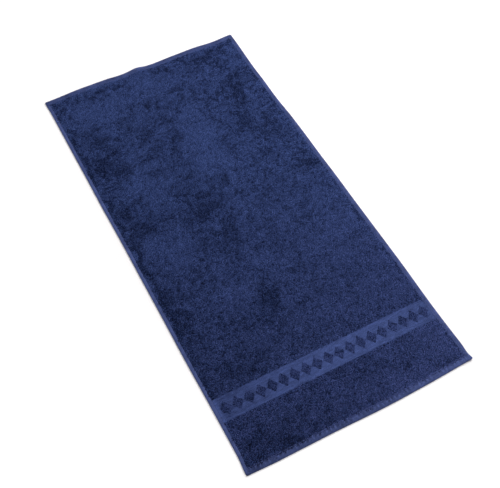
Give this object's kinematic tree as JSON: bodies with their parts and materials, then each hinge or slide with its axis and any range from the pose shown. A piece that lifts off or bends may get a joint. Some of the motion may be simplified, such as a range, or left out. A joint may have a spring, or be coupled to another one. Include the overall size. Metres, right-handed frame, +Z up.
{
  "type": "hand towel",
  "caption": "Rectangular terry hand towel laid flat, with sewn hems all round and a flat-woven band of raised lozenges near one end.",
  "frame": {"origin": "centre of the towel's underside, on the surface it lies on", "axes": "+Y along the towel's length, away from the end with the woven band; +X across it; +Z up, out of the face that shows"},
  "size_m": [0.494, 1.0232, 0.0066],
  "materials": {
    "terry": "matt looped cotton pile, navy blue"
  },
  "bodies": {
    "root": {"towel": "terry"}
  },
  "joints": []
}
